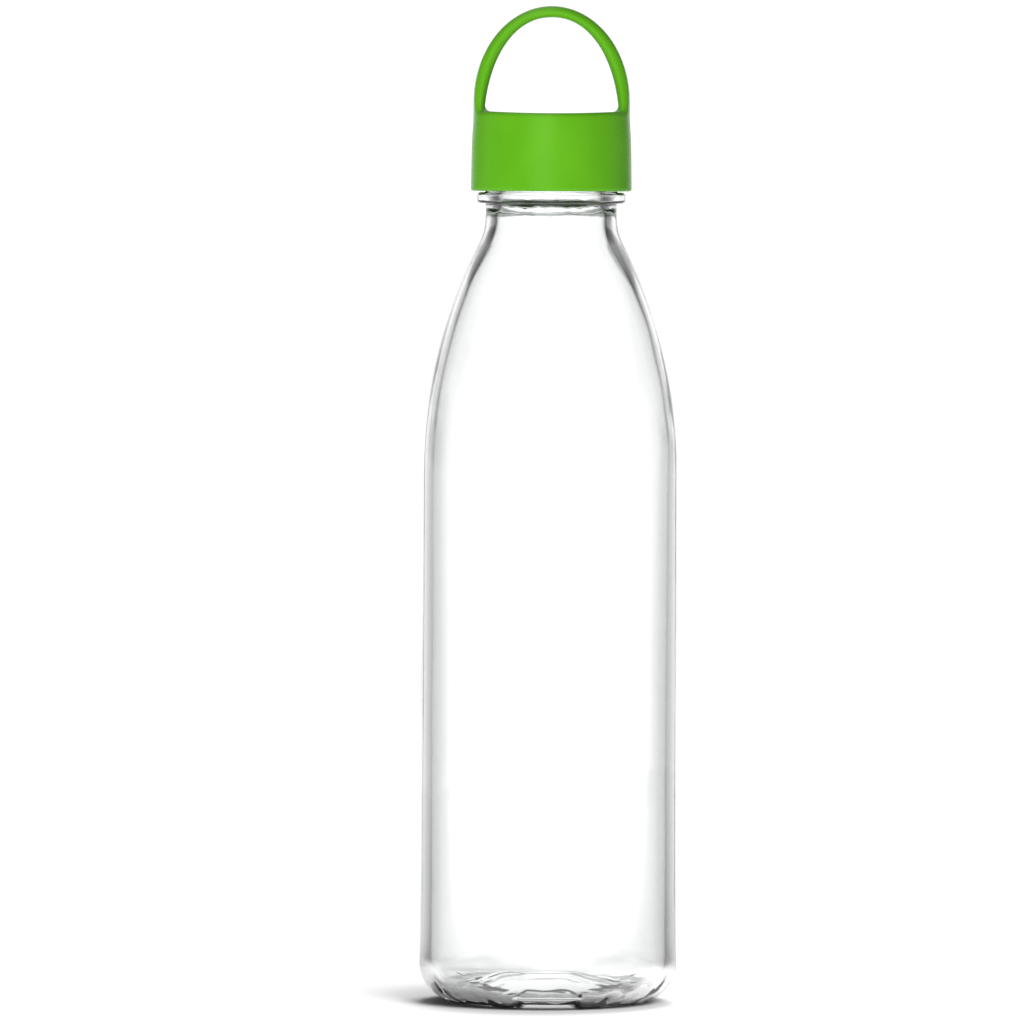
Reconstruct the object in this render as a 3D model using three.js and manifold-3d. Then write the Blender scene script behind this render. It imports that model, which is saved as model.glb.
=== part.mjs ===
// Glass water bottle with a green screw cap: the cap's arched loop handle is part of its moulding.
// Millimetres, +Z up. The origin is the centre of the base, on the surface that the bottle stands on.
// The loop handle lies in the XZ plane, so its opening faces -Y.

import * as THREE from 'three';
import { mergeVertices } from 'three/addons/utils/BufferGeometryUtils.js';
import Module from 'manifold-3d';

const wasm = await Module();
wasm.setup();

// ---------------------------------------------------------------- driving dimensions

const ROUND_SEGMENTS = 48;            // facets around the axis
const GAP = 0.3;                      // space left between two pieces that touch

// Glass: body, heel and base
const WALL = 2.9;
const BODY_RADIUS = 34.4;             // at the foot of the shoulder
const FOOT_RADIUS = 34.8;             // just above the heel: the body widens a touch towards it
const HEEL_RADIUS = 11;               // rounding between the body and the base
const BEARING_WIDTH = 2.8;            // flat ring that the bottle stands on
const PUNT_RISE = 4;                  // hollow under the base
const PUNT_FLAT = 13;                 // radius of the hollow's level middle
const BASE_THICKNESS = 3.6;           // under the lowest ring of the inside
const FLOOR_RISE = 4;                 // of the inside floor's middle above that ring
const FLOOR_FLAT = 8;                 // radius of the floor's level middle
const MOUND_STEPS = 6;

// Glass: shoulder and neck
const SHOULDER_Z = 143;               // where the straight body ends
const SHOULDER_RADIUS = 134;          // long convex arc
const NECK_ARC_RADIUS = 16;           // short concave arc into the neck
const NECK_RADIUS = 17.7;

// Glass: bead, finish and rim
const BEAD_Z = 215.2;
const BEAD_HEIGHT = 3;
const BEAD_RADIUS = 20;
const BEAD_EDGE = 0.9;                // rounding of the bead's two edges
const FINISH_RADIUS = 17.55;          // wall of the finish, between the thread's turns
const BORE_RADIUS = 14;
const BORE_FOOT_Z = 216;              // below it the bore opens into the shoulder
const RIM_Z = 234.7;
const RIM_ROUND = 1;

// Screw thread, right-handed, one start
const THREAD_PITCH = 25.4 / 6;
const THREAD_TURNS = 1.5;
const THREAD_FOOT_Z = 224.3;
const THREAD_RUN_OUT = 0.09;          // share of the thread's length that fades away at each end
const THREAD_ROOT = 0.6;              // how deep a thread's section reaches into its wall
const THREAD_STEPS = 60;
const GLASS_THREAD = { height: 1.2, foot: 2.7, crest: 1.5 };
const CAP_THREAD = { height: 1.05, foot: 2.3, crest: 1.2 };

// Cap
const CAP_FOOT_Z = 218.5;
const CAP_TOP_Z = 239.5;
const CAP_FOOT_RADIUS = 21.68;
const CAP_WAIST_Z = 232;              // above it the side leans in a little more
const CAP_WAIST_RADIUS = 21.47;
const CAP_TOP_RADIUS = 21.1;
const CAP_EDGE_ROUND = 1;
const CAP_BORE_RADIUS = 19.05;
const CAP_UNDERSIDE_Z = 237;
const PLUG_RADIUS = 13.3;             // ring that centres the cap in the bore and holds the seal
const PLUG_WALL = 1.8;
const PLUG_DEPTH = 4.2;

// Loop handle: an arch between two ellipses, which narrows front to back as it rises
const HANDLE_FOOT_DEPTH = 12;
const HANDLE_TOP_DEPTH = 8;
const HANDLE_EDGE = 1.2;
const HANDLE_FOOT_Z = 238;            // below the cap's top, so that it grows out of it
const HANDLE_OUTER = { width: 21.04, rise: 25.8, z: 242.5 };
const HANDLE_INNER = { width: 17.85, rise: 25.4, z: 239.9 };

// Seal
const SEAL_OUTER_RADIUS = 18.3;

// ---------------------------------------------------------------- helpers

const point = (x, y) => new THREE.Vector2(x, y);

/** Points of an arc from angle a to angle b (degrees), both ends included. */
function arc(cx, cy, rx, ry, a, b, steps) {
  const points = [];
  for (let i = 0; i <= steps; i += 1) {
    const angle = THREE.MathUtils.degToRad(a + ((b - a) * i) / steps);
    points.push(point(cx + rx * Math.cos(angle), cy + ry * Math.sin(angle)));
  }
  return points;
}

/** A body of revolution about Z, from a profile of (radius, height) points. */
function lathe(profile) {
  return new THREE.LatheGeometry(profile, ROUND_SEGMENTS).rotateX(Math.PI / 2);
}

function toSolid(geometry) {
  const bare = geometry.clone();
  bare.deleteAttribute('normal');
  bare.deleteAttribute('uv');
  const merged = mergeVertices(bare, 1e-4);
  return new wasm.Manifold(new wasm.Mesh({
    numProp: 3,
    vertProperties: new Float32Array(merged.attributes.position.array),
    triVerts: new Uint32Array(merged.index.array),
  }));
}

function toGeometry(solid) {
  const { vertProperties, triVerts } = solid.getMesh();
  const geometry = new THREE.BufferGeometry();
  geometry.setAttribute('position', new THREE.BufferAttribute(vertProperties, 3));
  geometry.setIndex(new THREE.BufferAttribute(triVerts, 1));
  geometry.computeVertexNormals();
  return geometry;
}

/** A right-handed helix about Z whose two ends sink by `sink`, so that a thread fades into its wall. */
class ThreadPath extends THREE.Curve {
  constructor(radius, footZ, sink) {
    super();
    this.radius = radius;
    this.footZ = footZ;
    this.sink = sink;
  }

  getPoint(t, target = new THREE.Vector3()) {
    const angle = 2 * Math.PI * THREAD_TURNS * t;
    const fullness = THREE.MathUtils.smoothstep(Math.min(t, 1 - t), 0, THREAD_RUN_OUT);
    const radius = this.radius - this.sink * (1 - fullness);
    const z = this.footZ + THREAD_PITCH * THREAD_TURNS * t;
    return target.set(radius * Math.cos(angle), radius * Math.sin(angle), z);
  }

  /** The section stays upright: its x points away from the axis, and its y points down. */
  computeFrenetFrames(segments) {
    const frames = { tangents: [], normals: [], binormals: [] };
    for (let i = 0; i <= segments; i += 1) {
      const outward = this.getPointAt(i / segments).setZ(0).normalize();
      const down = new THREE.Vector3(0, 0, -1);
      frames.normals.push(outward);
      frames.binormals.push(down);
      frames.tangents.push(new THREE.Vector3().crossVectors(outward, down));
    }
    return frames;
  }
}

/** A thread that stands `height` out of a wall. side is 1 on an outside wall and -1 on an inside wall. */
function thread({ height, foot, crest }, wallRadius, footZ, side) {
  const section = new THREE.Shape([
    point(-side * THREAD_ROOT, -foot / 2),
    point(side * height, -crest / 2),
    point(side * height, crest / 2),
    point(-side * THREAD_ROOT, foot / 2),
  ]);
  const path = new ThreadPath(wallRadius, footZ, side * (height + THREAD_ROOT / 4));
  return toSolid(new THREE.ExtrudeGeometry(section, { steps: THREAD_STEPS, extrudePath: path }));
}

// ---------------------------------------------------------------- the bottle

/** The two arcs of the shoulder, from the body up to the neck, `inset` inside the outer surface. */
function shoulder(inset) {
  const bodyArcX = BODY_RADIUS - SHOULDER_RADIUS;
  const neckArcX = NECK_RADIUS + NECK_ARC_RADIUS;
  const run = neckArcX - bodyArcX;
  const reach = SHOULDER_RADIUS + NECK_ARC_RADIUS;
  const rise = Math.sqrt(reach * reach - run * run);
  const sweep = THREE.MathUtils.radToDeg(Math.asin(rise / reach));
  const bodyRadius = SHOULDER_RADIUS - inset;
  const neckRadius = NECK_ARC_RADIUS + inset;
  const convex = arc(bodyArcX, SHOULDER_Z, bodyRadius, bodyRadius, 0, sweep, 9);
  const concave = arc(neckArcX, SHOULDER_Z + rise, neckRadius, neckRadius, 180 + sweep, 180, 5);
  return [...convex, ...concave.slice(1)];
}

/** A soft mound around the axis: level as far as the radius flat, then down to footZ at the radius foot. */
function mound(footZ, rise, flat, foot) {
  const points = [point(0, footZ + rise)];
  for (let step = 0; step <= MOUND_STEPS; step++) {
    const radius = flat + (foot - flat) * (step / MOUND_STEPS);
    points.push(point(radius, footZ + rise * (1 - THREE.MathUtils.smoothstep(radius, flat, foot))));
  }
  return points;
}

function bottleOutside() {
  const heelX = FOOT_RADIUS - HEEL_RADIUS;
  const beadX = BEAD_RADIUS - BEAD_EDGE;
  return [
    ...mound(0, PUNT_RISE, PUNT_FLAT, heelX - BEARING_WIDTH),
    ...arc(heelX, HEEL_RADIUS, HEEL_RADIUS, HEEL_RADIUS, -90, 0, 6),
    ...shoulder(0),
    point(NECK_RADIUS, BEAD_Z),
    ...arc(beadX, BEAD_Z + BEAD_EDGE, BEAD_EDGE, BEAD_EDGE, -90, 0, 2),
    ...arc(beadX, BEAD_Z + BEAD_HEIGHT - BEAD_EDGE, BEAD_EDGE, BEAD_EDGE, 0, 90, 2),
    point(FINISH_RADIUS, BEAD_Z + BEAD_HEIGHT),
  ];
}

function bottleInside() {
  const fillet = HEEL_RADIUS - BASE_THICKNESS;
  const filletX = BODY_RADIUS - WALL - fillet;
  const rim = [
    ...arc(FINISH_RADIUS - RIM_ROUND, RIM_Z - RIM_ROUND, RIM_ROUND, RIM_ROUND, 0, 90, 2),
    ...arc(BORE_RADIUS + RIM_ROUND, RIM_Z - RIM_ROUND, RIM_ROUND, RIM_ROUND, 90, 180, 2),
  ];
  const cavity = [
    ...mound(BASE_THICKNESS, FLOOR_RISE, FLOOR_FLAT, filletX),
    ...arc(filletX, HEEL_RADIUS, fillet, fillet, -90, 0, 5).slice(1),
    ...shoulder(WALL),
    point(BORE_RADIUS, BORE_FOOT_Z),
  ];
  return [...rim, ...cavity.reverse()];
}

function glassBottle() {
  const wall = toSolid(lathe([...bottleOutside(), ...bottleInside()]));
  return toGeometry(wall.add(thread(GLASS_THREAD, FINISH_RADIUS, THREAD_FOOT_Z, 1)));
}

// ---------------------------------------------------------------- the cap

function capShell() {
  const edge = CAP_EDGE_ROUND;
  const plugTipZ = CAP_UNDERSIDE_Z - PLUG_DEPTH;
  return toSolid(lathe([
    point(0, CAP_UNDERSIDE_Z),
    point(PLUG_RADIUS - PLUG_WALL, CAP_UNDERSIDE_Z),
    point(PLUG_RADIUS - PLUG_WALL, plugTipZ),
    point(PLUG_RADIUS - edge / 2, plugTipZ),
    point(PLUG_RADIUS, plugTipZ + edge),
    point(PLUG_RADIUS, CAP_UNDERSIDE_Z),
    point(CAP_BORE_RADIUS, CAP_UNDERSIDE_Z),
    point(CAP_BORE_RADIUS, CAP_FOOT_Z),
    point(CAP_FOOT_RADIUS - edge / 2, CAP_FOOT_Z),
    point(CAP_FOOT_RADIUS, CAP_FOOT_Z + edge / 2),
    point(CAP_WAIST_RADIUS, CAP_WAIST_Z),
    ...arc(CAP_TOP_RADIUS - edge, CAP_TOP_Z - edge, edge, edge, 0, 90, 3),
    point(0, CAP_TOP_Z),
  ]));
}

/** The arch, cut by a dome so that its outer face is flush with the round side of the cap. */
function loopHandle() {
  const { width, rise, z } = HANDLE_OUTER;
  const inner = HANDLE_INNER;
  const arch = new THREE.Shape([
    point(width, HANDLE_FOOT_Z),
    ...arc(0, z, width, rise, 0, 180, 28),
    point(-width, HANDLE_FOOT_Z),
    point(-inner.width, HANDLE_FOOT_Z),
    ...arc(0, inner.z, inner.width, inner.rise, 180, 0, 26),
    point(inner.width, HANDLE_FOOT_Z),
  ]);
  const strap = new THREE.ExtrudeGeometry(arch, {
    depth: HANDLE_FOOT_DEPTH - 2 * HANDLE_EDGE,
    bevelThickness: HANDLE_EDGE,
    bevelSize: HANDLE_EDGE,
    bevelOffset: -HANDLE_EDGE,
    bevelSegments: 2,
  });
  strap.rotateX(Math.PI / 2).translate(0, HANDLE_FOOT_DEPTH / 2 - HANDLE_EDGE, 0);
  const points = strap.attributes.position;
  for (let i = 0; i < points.count; i += 1) {
    const height = (points.getZ(i) - HANDLE_FOOT_Z) / (z + rise - HANDLE_FOOT_Z);
    const narrowing = THREE.MathUtils.lerp(1, HANDLE_TOP_DEPTH / HANDLE_FOOT_DEPTH, height);
    points.setY(i, points.getY(i) * narrowing);
  }
  const dome = lathe([
    point(0, HANDLE_FOOT_Z - HANDLE_EDGE),
    point(width, HANDLE_FOOT_Z - HANDLE_EDGE),
    ...arc(0, z, width, rise, 0, 90, 12),
  ]);
  return toSolid(strap).intersect(toSolid(dome));
}

function screwCap() {
  // Half a pitch below the glass thread, so that each turn lies in the other's groove
  const insideThread = thread(CAP_THREAD, CAP_BORE_RADIUS, THREAD_FOOT_Z - THREAD_PITCH / 2, -1);
  return toGeometry(capShell().add(insideThread).add(loopHandle()));
}

// ---------------------------------------------------------------- the seal

function capSeal() {
  const bottom = RIM_Z + GAP;
  const top = CAP_UNDERSIDE_Z - GAP;
  const inner = PLUG_RADIUS + GAP;
  return lathe([
    point(inner, bottom),
    point(SEAL_OUTER_RADIUS, bottom),
    point(SEAL_OUTER_RADIUS, top),
    point(inner, top),
    point(inner, bottom),
  ]);
}

// ---------------------------------------------------------------- assembly

function part(name, geometry, look) {
  const mesh = new THREE.Mesh(geometry, new THREE.MeshStandardMaterial(look));
  mesh.name = name;
  return mesh;
}

const bottle = new THREE.Group();
bottle.add(
  part('glass_bottle', glassBottle(), {
    color: 0xeef3f1, roughness: 0.05, metalness: 0, transparent: true, opacity: 0.35,
  }),
  part('screw_cap', screwCap(), { color: 0x67b81e, roughness: 0.38, metalness: 0 }),
  part('cap_seal', capSeal(), { color: 0xe9e9e4, roughness: 0.7, metalness: 0 }),
);

export default bottle;
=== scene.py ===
import math

import bpy
import numpy as np
from mathutils import Matrix, Vector


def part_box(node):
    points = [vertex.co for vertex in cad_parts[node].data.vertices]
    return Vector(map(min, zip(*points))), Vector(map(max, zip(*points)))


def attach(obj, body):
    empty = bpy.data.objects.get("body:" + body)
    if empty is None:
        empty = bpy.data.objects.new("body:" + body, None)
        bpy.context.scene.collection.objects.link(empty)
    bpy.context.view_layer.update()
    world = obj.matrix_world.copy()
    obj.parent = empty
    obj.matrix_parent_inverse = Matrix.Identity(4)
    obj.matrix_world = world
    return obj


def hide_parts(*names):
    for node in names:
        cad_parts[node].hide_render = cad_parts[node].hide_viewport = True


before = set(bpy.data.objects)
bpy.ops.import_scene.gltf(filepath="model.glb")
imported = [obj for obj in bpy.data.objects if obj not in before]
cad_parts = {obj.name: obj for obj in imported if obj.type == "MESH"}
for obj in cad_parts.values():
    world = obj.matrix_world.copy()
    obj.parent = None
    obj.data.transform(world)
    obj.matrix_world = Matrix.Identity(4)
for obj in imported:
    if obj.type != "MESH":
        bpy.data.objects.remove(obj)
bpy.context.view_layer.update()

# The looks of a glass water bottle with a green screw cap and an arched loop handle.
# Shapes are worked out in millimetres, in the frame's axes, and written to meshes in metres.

MM = 0.001


# ---------------------------------------------------------------- dimensions, in millimetres

def corners(node):
    low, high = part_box(node)
    return [c / MM for c in low], [c / MM for c in high]


GLASS_HIGH = corners("glass_bottle")[1]
CAP_LOW, CAP_HIGH = corners("screw_cap")
SEAL_LOW, SEAL_HIGH = corners("cap_seal")
SKIN = 0.02                      # the fine surfaces stay this far inside the frame's box

# Glass
FOOT_RADIUS = GLASS_HIGH[0] - SKIN
BODY_RADIUS = FOOT_RADIUS - 0.4
WALL = 2.9
SHOULDER_THINNING = 0.45         # how much thinner the wall gets in the shoulder
HEEL_RADIUS = 11.0
BEARING_WIDTH = 2.8
BEARING_PADS = 7
FRONT_GAP = 1.1                  # depths
SIDE_GAP = 0.4
PAD_GAP = math.radians(18.8)     # half of a gap's width, round the axis
PAD_SLOPE = math.radians(2.0)
PUNT_RISE = 4.0
PUNT_FLAT = 5.0
BASE_THICKNESS = 3.6             # under the lowest ring of the inside
FLOOR_RISE = 4.0                 # of the inside's table over that ring
FLOOR_FLAT = 8.0
SHOULDER_Z = 143.0
SHOULDER_RADIUS = 134.0
NECK_ARC_RADIUS = 16.0
NECK_RADIUS = 17.7
NECK_STRAIGHT_Z = 212.0
BEAD_Z = 215.2
BEAD_HEIGHT = 3.0
BEAD_RADIUS = 20.0
BEAD_ROUND = 0.9
FILLET_UNDER_BEAD = 0.5
FILLET_OVER_BEAD = 0.6
FINISH_RADIUS = 17.55
FINISH_FOOT_Z = BEAD_Z + BEAD_HEIGHT + 0.8
BORE_RADIUS = 14.0
BORE_FOOT_Z = 216.0
BORE_TAPER = 0.6                 # how much wider the bore begins
BORE_TAPER_Z = 213.0
RIM_Z = GLASS_HIGH[2]
RIM_ROUND = 1.0
GLASS_SEGMENTS = 240

# Screw thread
PITCH = 25.4 / 6
TURNS = 1.5
THREAD_FOOT_Z = 224.3
GLASS_THREAD = {"height": 1.18, "foot": 2.7, "crest": 1.3, "foot_z": THREAD_FOOT_Z}
CAP_THREAD = {"height": 1.03, "foot": 2.3, "crest": 1.1, "foot_z": THREAD_FOOT_Z - PITCH / 2}

# Cap
CAP_FOOT_Z = CAP_LOW[2]
CAP_FOOT_RADIUS = CAP_HIGH[0] - SKIN
CAP_TOP_Z = 239.5
CAP_TOP_RADIUS = 21.04
CAP_LEAN_Z = 231.0               # above this the side leans inwards
CAP_LEAN_RADIUS = 21.47
CAP_BORE_RADIUS = 19.05
CAP_UNDERSIDE_Z = 237.0
PLUG_RADIUS = 13.3
PLUG_WALL = 1.8
PLUG_DEPTH = 4.2
HANDLE_TOP_Z = CAP_HIGH[2] - SKIN
HANDLE_FOOT_DEPTH = 11.6
HANDLE_TOP_DEPTH = 7.8
HANDLE_HEIGHT = 25.8             # of the dome that the handle's outer side follows
HANDLE_THICKNESS = 3.05
HANDLE_ROUND = 1.6
HANDLE_FILLET = 1.9              # where it grows out of the cap's top
LOOP_HALF_WIDTH = 18.29
LOOP_HEIGHT = 30.74
LOOP_POWER = 2.15                # of the superellipse that the loop's inner side follows
CAP_CELL = 0.42                  # size of the cap's mesh cells

# Seal
SEAL_INNER_RADIUS = PLUG_RADIUS + 0.32
SEAL_EDGE = 0.35                 # radius of its rounded edges
SEAL_HOLLOW = 0.12               # how far its underside lies back between its edges


# ---------------------------------------------------------------- mesh helpers

def add_mesh(name, points, faces):
    """A smooth mesh object from points in millimetres."""
    mesh = bpy.data.meshes.new(name)
    mesh.from_pydata((np.asarray(points) * MM).tolist(), [], [list(map(int, f)) for f in faces])
    mesh.polygons.foreach_set("use_smooth", [True] * len(mesh.polygons))
    mesh.update()
    thing = bpy.data.objects.new(name, mesh)
    bpy.context.scene.collection.objects.link(thing)
    return thing


def arc(cx, cz, radius, start, end, steps):
    angle = np.radians(np.linspace(start, end, steps + 1))
    return np.column_stack([cx + radius * np.cos(angle), cz + radius * np.sin(angle)])


def line(start, end, spacing):
    steps = max(1, round(math.dist(start, end) / spacing))
    return np.linspace(start, end, steps + 1)


def path(*pieces):
    """The pieces one after the other, with doubled points left out."""
    points = np.vstack([np.atleast_2d(p) for p in pieces])
    keep = np.r_[True, np.hypot(*np.diff(points, axis=0).T) > 1e-6]
    return points[keep]


def revolve(name, radii, heights):
    """A closed body of revolution. Each row of radii and heights is one ring; end rows at 0 are poles."""
    turns = radii.shape[1]
    angle = np.arange(turns) * 2 * math.pi / turns
    grid = np.stack([radii * np.cos(angle), radii * np.sin(angle), heights], axis=2)
    has_poles = radii[0].max() < 1e-6
    rings = grid[1:-1] if has_poles else grid
    points = rings.reshape(-1, 3)
    number = np.arange(len(points)).reshape(len(rings), turns)
    ahead = np.roll(number, -1, axis=1)
    if not has_poles:
        number, ahead = np.vstack([number, number[:1]]), np.vstack([ahead, ahead[:1]])
    faces = np.stack([number[:-1], ahead[:-1], ahead[1:], number[1:]], axis=2).reshape(-1, 4).tolist()
    if has_poles:
        first, last = len(points), len(points) + 1
        points = np.vstack([points, grid[0, 0], grid[-1, 0]])
        faces += [[first, b, a] for a, b in zip(number[0], ahead[0])]
        faces += [[last, a, b] for a, b in zip(number[-1], ahead[-1])]
    return add_mesh(name, points, faces)


def surface_net(name, field, low, high, cell):
    """A closed quad mesh on the zero surface of field(x, y, z), which is negative inside."""
    axes = [np.arange(a, b + cell, cell) for a, b in zip(low, high)]
    inside = field(*np.meshgrid(*axes, indexing="ij")) < 0
    ends = (np.s_[:-1], np.s_[1:])
    count = sum(inside[i, j, k].astype(int) for i in ends for j in ends for k in ends)
    mixed = (count > 0) & (count < 8)
    number = np.full(mixed.shape, -1)
    number[mixed] = np.arange(mixed.sum())
    points = np.stack([axes[i][index] + cell / 2 for i, index in enumerate(np.nonzero(mixed))], axis=1)
    faces = []
    for axis in range(3):
        solid, cells = np.moveaxis(inside, axis, 0), np.moveaxis(number, axis, 0)
        i, j, k = np.nonzero(solid[:-1, 1:-1, 1:-1] != solid[1:, 1:-1, 1:-1])
        j, k = j + 1, k + 1
        below, above = [cells[i, j - 1, k - 1], cells[i, j, k - 1]], [cells[i, j, k], cells[i, j - 1, k]]
        quads = np.stack(below + above, axis=1)
        outward = solid[i, j, k] if axis != 1 else ~solid[i, j, k]
        faces.append(np.where(outward[:, None], quads, quads[:, ::-1]))
    return add_mesh(name, settle(field, points, cell), np.vstack(faces))


def settle(field, points, cell, rounds=5, probe=0.01):
    """Moves points along the field's slope until they lie on its zero surface."""
    for _ in range(rounds):
        slope = np.stack([
            (field(*(points + step).T) - field(*(points - step).T)) / (2 * probe)
            for step in np.eye(3) * probe
        ], axis=1)
        steepness = np.maximum((slope ** 2).sum(axis=1), 0.05)
        move = (field(*points.T) / steepness)[:, None] * slope
        length = np.linalg.norm(move, axis=1, keepdims=True)
        points = points - move * np.minimum(1, 0.6 * cell / np.maximum(length, 1e-9))
    return points


def smooth(x, low, high):
    t = np.clip((x - low) / (high - low), 0, 1)
    return t * t * (3 - 2 * t)


def thread_relief(angle, z, shape):
    """How far a right-handed thread stands out of its wall, fading at both ends of its run."""
    turn = np.mod(angle / (2 * math.pi), 1)
    relief = np.zeros(np.broadcast(angle, z).shape)
    for lap in range(math.ceil(TURNS) + 1):
        run = (lap + turn) / TURNS
        centre = shape["foot_z"] + PITCH * (lap + turn)
        full = smooth(run, 0, 0.09) * (1 - smooth(run, 0.91, 1))
        flank = 1 - smooth(np.abs(z - centre), shape["crest"] / 2 - 0.2, shape["foot"] / 2 + 0.15)
        relief = np.maximum(relief, shape["height"] * full * flank)
    return relief


# ---------------------------------------------------------------- the glass

def shoulder(inset):
    """The long convex arc and the short concave one, from the body to the neck, inside by inset."""
    body_x, neck_x = BODY_RADIUS - SHOULDER_RADIUS, NECK_RADIUS + NECK_ARC_RADIUS
    reach = SHOULDER_RADIUS + NECK_ARC_RADIUS
    sweep = math.degrees(math.acos((neck_x - body_x) / reach))
    rise = reach * math.sin(math.radians(sweep))
    return path(
        arc(body_x, SHOULDER_Z, SHOULDER_RADIUS - inset, 0, sweep, 44),
        arc(neck_x, SHOULDER_Z + rise, NECK_ARC_RADIUS + inset, 180 + sweep, 180, 12),
    )


def plateau(foot_z, rise, flat, foot):
    """From the axis outwards: a round table with soft slopes, down to foot_z at the radius foot."""
    radius = np.linspace(0, foot, 40)
    crown = 0.12 * rise * (radius / foot) ** 2
    return np.column_stack([radius, foot_z + (rise - crown) * (1 - smooth(radius, flat, foot))])


def glass_outside():
    heel_x = FOOT_RADIUS - HEEL_RADIUS
    bearing_x = heel_x - BEARING_WIDTH
    bead_x, bead_top = BEAD_RADIUS - BEAD_ROUND, BEAD_Z + BEAD_HEIGHT
    under, over = FILLET_UNDER_BEAD, FILLET_OVER_BEAD
    return path(
        plateau(0, PUNT_RISE, PUNT_FLAT, bearing_x),
        line((bearing_x, 0), (heel_x, 0), 0.35),
        arc(heel_x, HEEL_RADIUS, HEEL_RADIUS, -90, 0, 30),
        line((FOOT_RADIUS, HEEL_RADIUS), (BODY_RADIUS, SHOULDER_Z), 3),
        shoulder(0),
        line((NECK_RADIUS, NECK_STRAIGHT_Z), (NECK_RADIUS, BEAD_Z - under), 0.8),
        arc(NECK_RADIUS + under, BEAD_Z - under, under, 180, 90, 4),
        arc(bead_x, BEAD_Z + BEAD_ROUND, BEAD_ROUND, -90, 0, 6),
        arc(bead_x, bead_top - BEAD_ROUND, BEAD_ROUND, 0, 90, 6),
        arc(FINISH_RADIUS + over, bead_top + over, over, 270, 180, 4),
        line((FINISH_RADIUS, FINISH_FOOT_Z), (FINISH_RADIUS, RIM_Z - RIM_ROUND), 0.25),
        arc(FINISH_RADIUS - RIM_ROUND, RIM_Z - RIM_ROUND, RIM_ROUND, 0, 90, 6),
    )


def glass_inside():
    """From the rim down to the middle of the floor."""
    fillet = HEEL_RADIUS - BASE_THICKNESS
    fillet_x, fillet_z = BODY_RADIUS - WALL - fillet, BASE_THICKNESS + fillet
    cavity = path(
        plateau(BASE_THICKNESS, FLOOR_RISE, FLOOR_FLAT, fillet_x),
        arc(fillet_x, fillet_z, fillet, -90, 0, 20),
        line((BODY_RADIUS - WALL, fillet_z), (BODY_RADIUS - WALL, SHOULDER_Z), 2),
        shoulder(WALL),
        line((BORE_RADIUS + BORE_TAPER, BORE_TAPER_Z), (BORE_RADIUS, BORE_FOOT_Z), 0.6),
        line((BORE_RADIUS, BORE_FOOT_Z), (BORE_RADIUS, RIM_Z - RIM_ROUND), 1),
    )
    rim = arc(BORE_RADIUS + RIM_ROUND, RIM_Z - RIM_ROUND, RIM_ROUND, 90, 180, 6)
    return path(rim, cavity[::-1])


def outside_relief(angle, z):
    """Two faint mould seams down the sides and a slight unevenness, never outwards of the profile."""
    seam = np.exp(-((np.abs(np.sin(angle)) * BODY_RADIUS) / 0.3) ** 2)
    uneven = 0.5 + 0.5 * np.sin(2 * angle + z / 23) * np.sin(z / 37 + 1.2)
    on_body = smooth(z, 6, 16) * (1 - smooth(z, 200, 212))
    return (0.04 * seam - 0.05 - 0.05 * uneven) * on_body


def inside_relief(angle, z):
    """The blown inner wall waves, most of all in the shoulder, where the glass was still moving. It is
    thinner there, and it is finely rough behind the bead."""
    wave = (
        0.10 * np.sin(2 * math.pi * z / 37 + 1.4 * np.sin(angle + 0.6))
        + 0.35 * np.sin(angle - 0.9 + z / 46)
        + 0.06 * np.sin(3 * angle + 0.5 - z / 31)
        + 0.02 * np.sin(8 * angle + 1.9 + z / 17)
        + 0.012 * np.sin(13 * angle - z / 23)
        + 0.02 * np.sin(z / 2.1 + 3 * np.sin(2 * angle + z / 40))
    )
    rough = (
        0.015 * np.sin(7 * angle + 1.1 * z + 2)
        + 0.012 * np.sin(19 * angle - 1.7 * z)
        + 0.01 * np.sin(31 * angle + 2.9 * z)
    )
    in_body, in_shoulder, in_neck = 0.15, 0.7, 0.4
    rises = (in_shoulder - in_body) * smooth(z, 130, 172)
    falls = (in_shoulder - in_neck) * smooth(z, 203, 216)
    strength = in_body + rises - falls + 0.2 * (1 - smooth(z, 12, 30))
    wave = wave + rough / in_neck * smooth(z, 210, 213) * (1 - smooth(z, 220, 226))
    thinner = SHOULDER_THINNING * smooth(z, 90, 190) * (1 - smooth(z, 190, 214))
    return wave * strength * (1 - smooth(z, 222, 230)) + thinner


def floor_relief(angle, radius, z):
    """Height of the lumps and ripples in the base's inside, which no mould touches."""
    ripple = (
        0.07 * np.sin(radius / 2.3 + 1.3 * np.sin(2 * angle + 0.4))
        + 0.10 * np.sin(5 * angle + radius / 3.1)
        + 0.09 * np.sin(9 * angle - radius / 2.7 + 1.1)
        + 0.07 * np.sin(14 * angle + radius / 1.9)
        + 0.05 * np.sin(23 * angle - radius / 1.3 + 0.7)
    )
    return ripple * smooth(radius, 14, 21) * (1 - smooth(z, 10, 17)) * (z < 20)


def bearing_relief(angle, radius, z):
    """The bottle stands on pads with shallow gaps between them. The gap at the front is the deepest."""
    spacing = 2 * math.pi / BEARING_PADS
    around = angle + math.pi / 2
    place = np.mod(around + spacing / 2, spacing) - spacing / 2
    gap = 1 - smooth(np.abs(place), PAD_GAP - PAD_SLOPE, PAD_GAP)
    depth = np.where(np.cos(around) > math.cos(spacing / 2), FRONT_GAP, SIDE_GAP)
    near = smooth(radius, 17, 19.5) * (1 - smooth(z, 1.3, 4.0))
    return depth * gap * near


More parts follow.
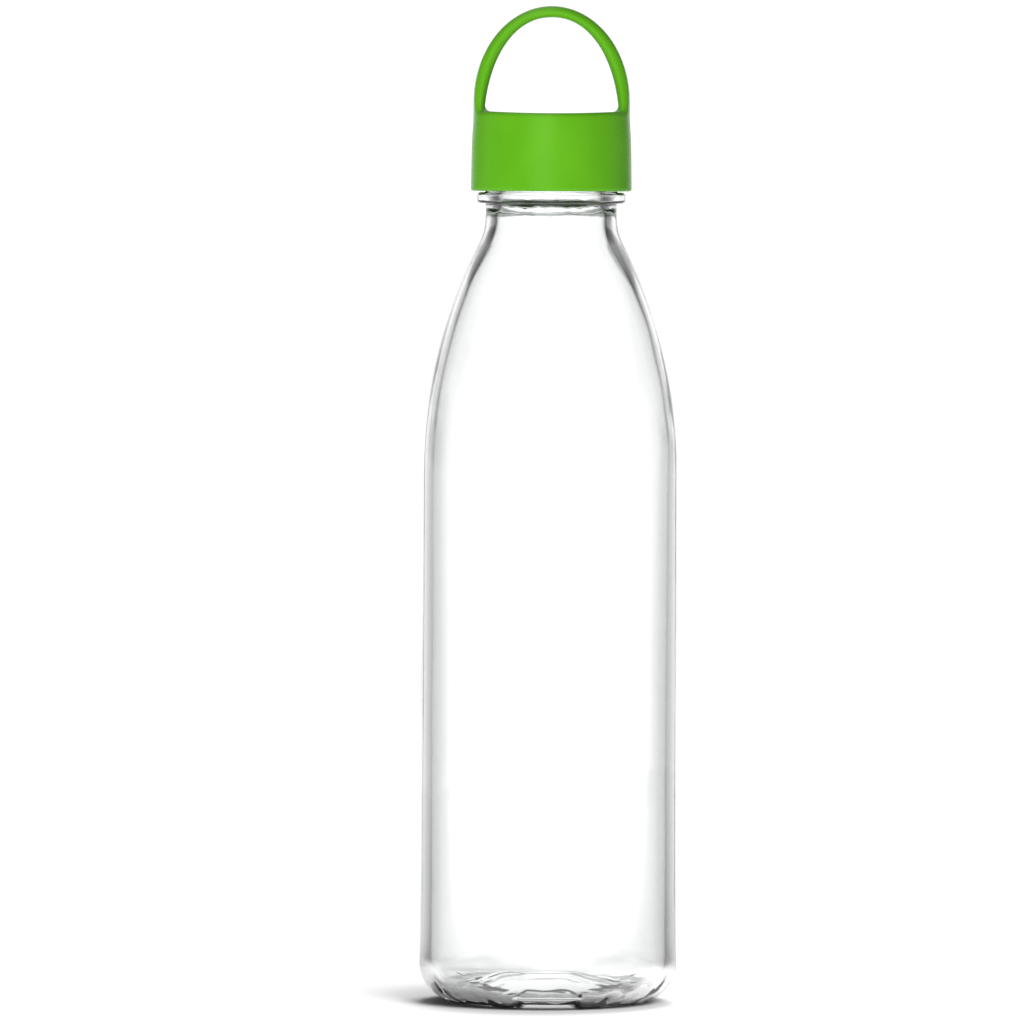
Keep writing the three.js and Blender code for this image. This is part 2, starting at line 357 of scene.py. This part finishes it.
def make_glass():
    angle = np.arange(GLASS_SEGMENTS)[None, :] * 2 * math.pi / GLASS_SEGMENTS
    outer_r, outer_z = (c[:, None] for c in glass_outside().T)
    inner_r, inner_z = (c[:, None] for c in glass_inside().T)
    in_finish = (outer_r > FINISH_RADIUS - 0.01) & (outer_z > FINISH_FOOT_Z + 0.1)
    outer_radii = outer_r + outside_relief(angle, outer_z)
    outer_radii = outer_radii + in_finish * thread_relief(angle, outer_z, GLASS_THREAD)
    outer_heights = outer_z + bearing_relief(angle, outer_r, outer_z) * (outer_r > 0)
    inner_radii = inner_r + inside_relief(angle, inner_z) * smooth(inner_r, 0, 12)
    inner_heights = inner_z + floor_relief(angle, inner_r, inner_z)
    radii = np.vstack([outer_radii, inner_radii])
    heights = np.vstack([outer_heights, inner_heights])
    return revolve("bottle_glass", radii, heights)


# ---------------------------------------------------------------- the cap

def round_both(a, b, radius):
    """Inside both a and b, with the edge between them rounded."""
    corner = np.hypot(np.maximum(a + radius, 0), np.maximum(b + radius, 0))
    return np.minimum(np.maximum(a + radius, b + radius), 0) + corner - radius


def fillet_union(a, b, radius):
    """Inside a or b, with the corner between them filled by a round fillet."""
    corner = np.hypot(np.maximum(radius - a, 0), np.maximum(radius - b, 0))
    return np.maximum(np.minimum(a, b), radius) - corner


def arch_distance(x, z, width, rise, foot_z, power):
    """Distance outside an arch: straight sides up to foot_z, then a superellipse."""
    u = np.maximum(np.abs(x), 1e-6) / width
    v = np.maximum(z - foot_z, 1e-6) / rise
    size = (u ** power + v ** power) ** (1 / power)
    slope = size ** (1 - power) * np.hypot(u ** (power - 1) / width, v ** (power - 1) / rise)
    return (size - 1) / slope


def cap_side(z):
    """Radius of the outside: a slight draft, then a soft lean inwards near the top."""
    draft = (CAP_FOOT_RADIUS - CAP_LEAN_RADIUS) * smooth_line(z, CAP_FOOT_Z, CAP_LEAN_Z)
    lean = (CAP_LEAN_RADIUS - CAP_TOP_RADIUS) * smooth(z, CAP_LEAN_Z - 1, CAP_TOP_Z)
    return CAP_FOOT_RADIUS - draft - lean


def smooth_line(x, low, high):
    return np.clip((x - low) / (high - low), 0, 1)


def cap_field(x, y, z):
    across = np.hypot(x, y)
    angle = np.arctan2(y, x)
    # Outside: the round envelope, which is the skirt's side and goes on over the handle as a dome
    dome_foot_z = HANDLE_TOP_Z - HANDLE_HEIGHT
    dome = arch_distance(across, z, CAP_TOP_RADIUS, HANDLE_HEIGHT, dome_foot_z, 2)
    envelope = np.where(z < dome_foot_z, across - cap_side(z), dome)
    # The top dips in the middle and rises to the handle's feet
    top = z - (CAP_TOP_Z - 0.15 + 0.5 * np.minimum(np.abs(x) / 17, 1) ** 2)
    loop_foot_z = HANDLE_TOP_Z - HANDLE_THICKNESS - LOOP_HEIGHT
    opening = arch_distance(x, z, LOOP_HALF_WIDTH, LOOP_HEIGHT, loop_foot_z, LOOP_POWER)
    height = smooth_line(z, CAP_TOP_Z, HANDLE_TOP_Z)
    half_depth = (HANDLE_TOP_DEPTH + (HANDLE_FOOT_DEPTH - HANDLE_TOP_DEPTH) * (1 - height) ** 1.6) / 2
    strap = round_both(-opening, np.abs(y) - half_depth, HANDLE_ROUND)
    solid = fillet_union(top, strap, HANDLE_FILLET)
    solid = round_both(solid, envelope, 1.2 + 0.4 * smooth(z, CAP_TOP_Z, CAP_TOP_Z + 4))
    solid = round_both(solid, CAP_FOOT_Z - z, 0.7)
    # Inside: the bore with its thread, and the ring that holds the seal
    bore = CAP_BORE_RADIUS - thread_relief(angle, z, CAP_THREAD)
    hollow = round_both(across - bore, z - CAP_UNDERSIDE_Z, 0.4)
    plug_middle = PLUG_RADIUS - PLUG_WALL / 2
    plug = round_both(np.abs(across - plug_middle) - PLUG_WALL / 2, CAP_UNDERSIDE_Z - PLUG_DEPTH - z, 0.6)
    hollow = round_both(hollow, -plug, 0.4)
    return round_both(solid, -hollow, 0.35)


def make_cap():
    reach = CAP_FOOT_RADIUS + 1
    low, high = (-reach, -reach, CAP_FOOT_Z - 1), (reach, reach, HANDLE_TOP_Z + 1)
    return surface_net("cap_with_loop", cap_field, low, high, CAP_CELL)


def make_seal():
    """A flat gasket ring with rounded edges, slightly hollow underneath."""
    inner, outer, edge = SEAL_INNER_RADIUS, SEAL_HIGH[0] - SKIN, SEAL_EDGE
    low, high = SEAL_LOW[2] + SKIN, SEAL_HIGH[2] - SKIN
    hollow = low + SEAL_HOLLOW
    section = path(
        arc(inner + edge, low + edge, edge, 180, 270, 5),
        line((inner + edge, hollow), (outer - edge, hollow), 0.3)[1:-1],
        arc(outer - edge, low + edge, edge, 270, 360, 5),
        arc(outer - edge, high - edge, edge, 0, 90, 5),
        arc(inner + edge, high - edge, edge, 90, 180, 5),
    )
    radii, heights = (np.repeat(c[:, None], 160, axis=1) for c in section.T)
    return revolve("seal_ring", radii, heights)


# ---------------------------------------------------------------- materials

class Nodes:
    """Short calls for building a node tree."""

    def __init__(self, tree):
        self.tree = tree
        tree.nodes.clear()

    def add(self, kind, **settings):
        node = self.tree.nodes.new(kind)
        for name, value in settings.items():
            if hasattr(node, name):
                setattr(node, name, value)
            else:
                node.inputs[name.replace("_", " ")].default_value = value
        return node

    def join(self, source, target):
        self.tree.links.new(source, target)


def new_material(name):
    material = bpy.data.materials.new(name)
    material.use_nodes = True
    return material, Nodes(material.node_tree)


def ramp(nodes, source, stops):
    """A colour ramp with (place, grey) stops."""
    node = nodes.add("ShaderNodeValToRGB")
    elements = node.color_ramp.elements
    while len(elements) < len(stops):
        elements.new(0.5)
    for element, (place, grey) in zip(elements, stops):
        element.position = place
        element.color = (grey, grey, grey, 1) if np.isscalar(grey) else (*grey, 1)
    nodes.join(source, node.inputs["Fac"])
    return node.outputs["Color"]


def span(nodes, source, start, end):
    """0 at start, 1 at end, and straight between them."""
    node = nodes.add("ShaderNodeMapRange")
    node.inputs["From Min"].default_value = start
    node.inputs["From Max"].default_value = end
    nodes.join(source, node.inputs["Value"])
    return node.outputs["Result"]


def glass_material():
    material, nodes = new_material("clear_glass")
    output = nodes.add("ShaderNodeOutputMaterial")
    glass = nodes.add("ShaderNodeBsdfPrincipled")
    glass.inputs["Base Color"].default_value = (0.97, 0.98, 0.975, 1)
    glass.inputs["Roughness"].default_value = 0.0
    glass.inputs["IOR"].default_value = 1.52
    glass.inputs["Transmission Weight"].default_value = 1.0
    # Fire-polished surface: a long, very low ripple
    place = nodes.add("ShaderNodeTexCoord")
    noise = nodes.add("ShaderNodeTexNoise", Scale=60.0, Detail=1.5)
    bump = nodes.add("ShaderNodeBump", Strength=0.05, Distance=0.0006)
    nodes.join(place.outputs["Object"], noise.inputs["Vector"])
    nodes.join(noise.outputs["Fac"], bump.inputs["Height"])
    nodes.join(bump.outputs["Normal"], glass.inputs["Normal"])
    # Light that only passes through on its way to the floor leaves a soft grey shadow
    clear = nodes.add("ShaderNodeBsdfTransparent")
    nodes.join(shadow_colour(nodes, place), clear.inputs["Color"])
    rays = nodes.add("ShaderNodeLightPath")
    mix = nodes.add("ShaderNodeMixShader")
    nodes.join(rays.outputs["Is Shadow Ray"], mix.inputs["Fac"])
    nodes.join(glass.outputs["BSDF"], mix.inputs[1])
    nodes.join(clear.outputs["BSDF"], mix.inputs[2])
    nodes.join(mix.outputs["Shader"], output.inputs["Surface"])
    return material


def shadow_colour(nodes, place):
    """The walls let light through to the floor, and the thick round heel throws it aside."""
    split = nodes.add("ShaderNodeSeparateXYZ")
    nodes.join(place.outputs["Object"], split.inputs["Vector"])
    flat = nodes.add("ShaderNodeCombineXYZ")
    nodes.join(split.outputs["X"], flat.inputs["X"])
    nodes.join(split.outputs["Y"], flat.inputs["Y"])
    across = nodes.add("ShaderNodeVectorMath", operation="LENGTH")
    nodes.join(flat.outputs["Vector"], across.inputs[0])
    heel = nodes.add("ShaderNodeMath", operation="MULTIPLY")
    nodes.join(span(nodes, across.outputs["Value"], *HEEL_SHADOW_EDGE), heel.inputs[0])
    nodes.join(span(nodes, split.outputs["Z"], *HEEL_SHADOW_TOP), heel.inputs[1])
    return ramp(nodes, heel.outputs["Value"], [(0.0, WALL_SHADOW), (1.0, HEEL_SHADOW)])


def plastic_material():
    material, nodes = new_material("green_polypropylene")
    output = nodes.add("ShaderNodeOutputMaterial")
    plastic = nodes.add("ShaderNodeBsdfPrincipled")
    plastic.inputs["IOR"].default_value = 1.49
    plastic.inputs["Specular IOR Level"].default_value = 0.2
    place = nodes.add("ShaderNodeTexCoord")
    # Pigment that is not mixed quite evenly
    cloud = nodes.add("ShaderNodeTexNoise", Scale=55.0, Detail=3.0)
    nodes.join(place.outputs["Object"], cloud.inputs["Vector"])
    colour = ramp(nodes, cloud.outputs["Fac"], [(0.3, (0.112, 0.430, 0.010)), (0.7, (0.135, 0.475, 0.014))])
    nodes.join(colour, plastic.inputs["Base Color"])
    # Satin mould surface: fine grain in the height and in the gloss
    grain = nodes.add("ShaderNodeTexNoise", Scale=2600.0, Detail=2.0)
    nodes.join(place.outputs["Object"], grain.inputs["Vector"])
    gloss = ramp(nodes, grain.outputs["Fac"], [(0.3, 0.24), (0.7, 0.34)])
    nodes.join(gloss, plastic.inputs["Roughness"])
    bump = nodes.add("ShaderNodeBump", Strength=0.12, Distance=0.0001)
    nodes.join(grain.outputs["Fac"], bump.inputs["Height"])
    nodes.join(bump.outputs["Normal"], plastic.inputs["Normal"])
    nodes.join(plastic.outputs["BSDF"], output.inputs["Surface"])
    return material


def silicone_material():
    material, nodes = new_material("white_silicone")
    output = nodes.add("ShaderNodeOutputMaterial")
    rubber = nodes.add("ShaderNodeBsdfPrincipled")
    rubber.inputs["IOR"].default_value = 1.41
    place = nodes.add("ShaderNodeTexCoord")
    cloud = nodes.add("ShaderNodeTexNoise", Scale=300.0, Detail=3.0)
    nodes.join(place.outputs["Object"], cloud.inputs["Vector"])
    colour = ramp(nodes, cloud.outputs["Fac"], [(0.3, (0.76, 0.76, 0.74)), (0.7, (0.84, 0.84, 0.82))])
    nodes.join(colour, rubber.inputs["Base Color"])
    gloss = ramp(nodes, cloud.outputs["Fac"], [(0.3, 0.55), (0.7, 0.7)])
    nodes.join(gloss, rubber.inputs["Roughness"])
    bump = nodes.add("ShaderNodeBump", Strength=0.15, Distance=0.0002)
    nodes.join(cloud.outputs["Fac"], bump.inputs["Height"])
    nodes.join(bump.outputs["Normal"], rubber.inputs["Normal"])
    nodes.join(rubber.outputs["BSDF"], output.inputs["Surface"])
    return material


def floor_material():
    """Plain pale paper that fades into the white studio. Seen through the glass it darkens sideways,
    like the rest of the studio, and it glows a little right under the base."""
    material, nodes = new_material("pale_floor")
    output = nodes.add("ShaderNodeOutputMaterial")
    paper = nodes.add("ShaderNodeBsdfPrincipled")
    paper.inputs["Roughness"].default_value = 0.9
    paper.inputs["Specular IOR Level"].default_value = 0.0
    place = nodes.add("ShaderNodeTexCoord")
    split = nodes.add("ShaderNodeSeparateXYZ")
    nodes.join(place.outputs["Object"], split.inputs["Vector"])
    reach = nodes.add("ShaderNodeVectorMath", operation="LENGTH")
    nodes.join(place.outputs["Object"], reach.inputs[0])
    rays = nodes.add("ShaderNodeLightPath")
    by_glass = nodes.add("ShaderNodeMath", operation="MAXIMUM")
    nodes.join(rays.outputs["Is Transmission Ray"], by_glass.inputs[0])
    nodes.join(rays.outputs["Is Glossy Ray"], by_glass.inputs[1])
    sideways = nodes.add("ShaderNodeMath", operation="MULTIPLY")
    nodes.join(span(nodes, reach.outputs["Value"], *PAPER_TO_BENT), sideways.inputs[0])
    nodes.join(by_glass.outputs["Value"], sideways.inputs[1])
    mix = nodes.add("ShaderNodeMix", data_type="RGBA")
    mix.inputs[6].default_value = (1, 1, 1, 1)
    nodes.join(sideways.outputs["Value"], mix.inputs["Factor"])
    nodes.join(bent_around(nodes, split, BENT_LOW, 1.0), mix.inputs[7])
    tint = nodes.add("ShaderNodeMix", data_type="RGBA", blend_type="MULTIPLY")
    tint.inputs["Factor"].default_value = 1.0
    tint.inputs[7].default_value = PAPER_WHITE
    nodes.join(mix.outputs[2], tint.inputs[6])
    nodes.join(tint.outputs[2], paper.inputs["Base Color"])
    glow = nodes.add("ShaderNodeEmission", Strength=BENT_GAIN)
    nodes.join(mix.outputs[2], glow.inputs["Color"])
    under = nodes.add("ShaderNodeMath", operation="MULTIPLY")
    nodes.join(span(nodes, reach.outputs["Value"], *EDGE_OF_UNDER_GLOW), under.inputs[0])
    nodes.join(rays.outputs["Is Transmission Ray"], under.inputs[1])
    under_glow = nodes.add("ShaderNodeMath", operation="MULTIPLY")
    under_glow.inputs[1].default_value = UNDER_GLOW
    nodes.join(under.outputs["Value"], under_glow.inputs[0])
    paper.inputs["Emission Color"].default_value = (1, 1, 1, 1)
    nodes.join(under_glow.outputs["Value"], paper.inputs["Emission Strength"])
    fade = nodes.add("ShaderNodeMixShader")
    nodes.join(span(nodes, reach.outputs["Value"], *PAPER_TO_STUDIO), fade.inputs["Fac"])
    nodes.join(paper.outputs["BSDF"], fade.inputs[1])
    nodes.join(glow.outputs["Emission"], fade.inputs[2])
    nodes.join(fade.outputs["Shader"], output.inputs["Surface"])
    return material


# ---------------------------------------------------------------- studio

CAMERA_DISTANCE = 2.5
EYE_HEIGHT = 0.2189              # level with the foot of the cap
AIM = Vector((-0.0102, 0, 0.1321))
VIEW_WIDTH = 0.27587             # what the frame spans at the bottle
SENSOR = 36.0
LEAN = math.radians(0.25)        # the camera is turned this far about its own axis
FLOOR_RADIUS = 0.9
PAPER_WHITE = (0.93, 0.93, 0.93, 1)
PAPER_TO_STUDIO = (0.09, 0.17)   # distances from the axis over which the paper turns into the studio
PAPER_TO_BENT = (0.05, 0.12)     # and, seen through the glass, into its bent picture
SEEN_SKY = 1.1
DIFFUSE_SKY = 0.1
WALL_SHADOW = 0.97               # light left after each surface of the glass, in its shadow
HEEL_SHADOW = 0.15
HEEL_SHADOW_EDGE = (0.019, 0.023)    # distances from the axis over which the heel's shadow sets in
HEEL_SHADOW_TOP = (0.03, 0.006)      # and heights
UNDER_GLOW = 0.22                # light that the base gathers on the paper under it
EDGE_OF_UNDER_GLOW = (0.05, 0.03)
# What the pieces mirror from the camera's side, from left to right: dim, with one soft bright panel
MIRROR_PANEL = [(0.2, 0.15), (0.3, 2.2), (0.48, 2.2), (0.58, 0.15)]
# Brightness of what the glass bends, by the angle in degrees round the bottle, the same in each quarter
# turn: below the horizon, and from the horizon up
BENT_LOW = [(0, 1.0), (9, 1.0), (12, 0.85), (17, 0.74), (23, 0.64), (30, 0.52), (38, 0.45), (46, 0.28),
            (58, 0.22), (67, 0.35), (76, 0.75), (82, 1.0)]
BENT_LEVEL = [(0, 1.0), (20, 1.0), (25, 0.85), (30, 0.55), (36, 0.28), (46, 0.1), (58, 0.08), (67, 0.25),
              (76, 0.75), (82, 1.0)]
BENT_GAIN = 1.25
# and a factor on it, by the sine of the elevation
BENT_HIGH = [(0.0, 1.0), (0.165, 1.0), (0.215, 0.4), (0.3, 0.3), (0.42, 0.9), (1.0, 1.1)]


def make_camera():
    data = bpy.data.cameras.new("camera")
    camera = bpy.data.objects.new("camera", data)
    bpy.context.scene.collection.objects.link(camera)
    camera.location = (AIM.x, -CAMERA_DISTANCE, EYE_HEIGHT)
    look = AIM - camera.location
    turn = look.to_track_quat("-Z", "Y").to_matrix().to_4x4() @ Matrix.Rotation(LEAN, 4, "Z")
    camera.matrix_world = Matrix.Translation(camera.location) @ turn
    data.sensor_width = SENSOR
    data.lens = SENSOR * look.length / VIEW_WIDTH
    data.clip_end = 50
    bpy.context.scene.camera = camera


def make_world():
    """A white studio. What the glass bends has greyer stretches between white ones. What the pieces
    mirror from the camera's side is dim with one soft bright panel."""
    world = bpy.data.worlds.new("studio")
    bpy.context.scene.world = world
    world.use_nodes = True
    world.cycles.sampling_method = "NONE"
    nodes = Nodes(world.node_tree)
    place = nodes.add("ShaderNodeTexCoord")
    split = nodes.add("ShaderNodeSeparateXYZ")
    nodes.join(place.outputs["Generated"], split.inputs["Vector"])
    around = nodes.add("ShaderNodeMix", data_type="RGBA")
    nodes.join(span(nodes, split.outputs["Z"], -0.03, 0.0), around.inputs["Factor"])
    nodes.join(bent_around(nodes, split, BENT_LOW, BENT_GAIN), around.inputs[6])
    nodes.join(bent_around(nodes, split, BENT_LEVEL, BENT_GAIN), around.inputs[7])
    high = ramp(nodes, split.outputs["Z"], BENT_HIGH)
    bent = nodes.add("ShaderNodeMix", data_type="RGBA", blend_type="MULTIPLY")
    bent.inputs["Factor"].default_value = 1.0
    nodes.join(around.outputs[2], bent.inputs[6])
    nodes.join(high, bent.inputs[7])

    shader = flat_background(nodes, DIFFUSE_SKY)
    rays = nodes.add("ShaderNodeLightPath")
    mirrored = nodes.add("ShaderNodeMix", data_type="RGBA")
    panel = ramp(nodes, span(nodes, split.outputs["X"], -1.0, 1.0), MIRROR_PANEL)
    nodes.join(panel, mirrored.inputs[6])
    nodes.join(span(nodes, split.outputs["Y"], 0.0, 0.4), mirrored.inputs["Factor"])
    nodes.join(bent.outputs[2], mirrored.inputs[7])
    mirror = nodes.add("ShaderNodeBackground", Strength=1.0)
    nodes.join(mirrored.outputs[2], mirror.inputs["Color"])
    through = nodes.add("ShaderNodeBackground", Strength=1.0)
    nodes.join(bent.outputs[2], through.inputs["Color"])
    seen = flat_background(nodes, SEEN_SKY)
    by_ray = [("Is Glossy Ray", mirror), ("Is Transmission Ray", through), ("Is Camera Ray", seen)]
    for kind, background in by_ray:
        mix = nodes.add("ShaderNodeMixShader")
        nodes.join(rays.outputs[kind], mix.inputs["Fac"])
        nodes.join(shader.outputs[0], mix.inputs[1])
        nodes.join(background.outputs[0], mix.inputs[2])
        shader = mix
    output = nodes.add("ShaderNodeOutputWorld")
    nodes.join(shader.outputs[0], output.inputs["Surface"])


def bent_around(nodes, split, stops, gain):
    """Brightness by the direction round the bottle's axis, from a separated vector."""
    bearing = nodes.add("ShaderNodeMath", operation="ARCTAN2")
    nodes.join(split.outputs["X"], bearing.inputs[0])
    nodes.join(split.outputs["Y"], bearing.inputs[1])
    quarters = nodes.add("ShaderNodeMath", operation="DIVIDE")
    quarters.inputs[1].default_value = math.pi / 2
    nodes.join(bearing.outputs["Value"], quarters.inputs[0])
    folded = nodes.add("ShaderNodeMath", operation="PINGPONG")
    folded.inputs[1].default_value = 1.0
    nodes.join(quarters.outputs["Value"], folded.inputs[0])
    return ramp(nodes, folded.outputs["Value"], [(turn / 90, grey * gain) for turn, grey in stops])


def flat_background(nodes, strength):
    background = nodes.add("ShaderNodeBackground", Strength=strength)
    background.inputs["Color"].default_value = (1, 1, 1, 1)
    return background


def make_light(name, place, aim, size, power, receivers):
    data = bpy.data.lights.new(name, "AREA")
    data.shape = "DISK"
    data.size = size
    data.energy = power
    light = bpy.data.objects.new(name, data)
    bpy.context.scene.collection.objects.link(light)
    light.location = place
    light.rotation_euler = (Vector(aim) - Vector(place)).to_track_quat("-Z", "Y").to_euler()
    data.cycles.use_multiple_importance_sampling = False
    light.visible_camera = False
    light.visible_glossy = False
    light.visible_transmission = False
    light.light_linking.receiver_collection = receivers


def make_floor():
    angle = np.linspace(0, 2 * math.pi, 96, endpoint=False)
    edge = np.column_stack([np.cos(angle), np.sin(angle), np.zeros(96)]) * FLOOR_RADIUS / MM
    floor = add_mesh("floor", edge, [range(96)])
    floor.data.materials.append(floor_material())
    return floor


# ---------------------------------------------------------------- assembly

def place(piece, body, node, slot, material):
    piece.data.materials.append(material)
    on_pieces.objects.link(piece)
    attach(piece, body)
    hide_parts(node)


make_camera()
make_world()
on_floor = bpy.data.collections.new("lit_floor")
on_floor.objects.link(make_floor())
on_pieces = bpy.data.collections.new("lit_pieces")
make_light("floor_back", (0.25, 0.85, 2.1), aim=(0, 0, 0), size=1.3, power=37, receivers=on_floor)
make_light("floor_key", (0.9, -1.35, 1.2), aim=(0, 0, 0), size=1.3, power=45, receivers=on_floor)
make_light("front", (-0.5, -1.8, 0.6), aim=(0, 0, 0.23), size=0.5, power=25, receivers=on_pieces)

place(make_glass(), "bottle", "glass_bottle", "glass", glass_material())
place(make_cap(), "cap", "screw_cap", "cap_green", plastic_material())
place(make_seal(), "seal", "cap_seal", "seal_white", silicone_material())

scene = bpy.context.scene
scene.view_settings.view_transform = "Standard"
scene.cycles.caustics_refractive = False
scene.cycles.caustics_reflective = False
scene.cycles.max_bounces = 24
scene.cycles.transmission_bounces = 24
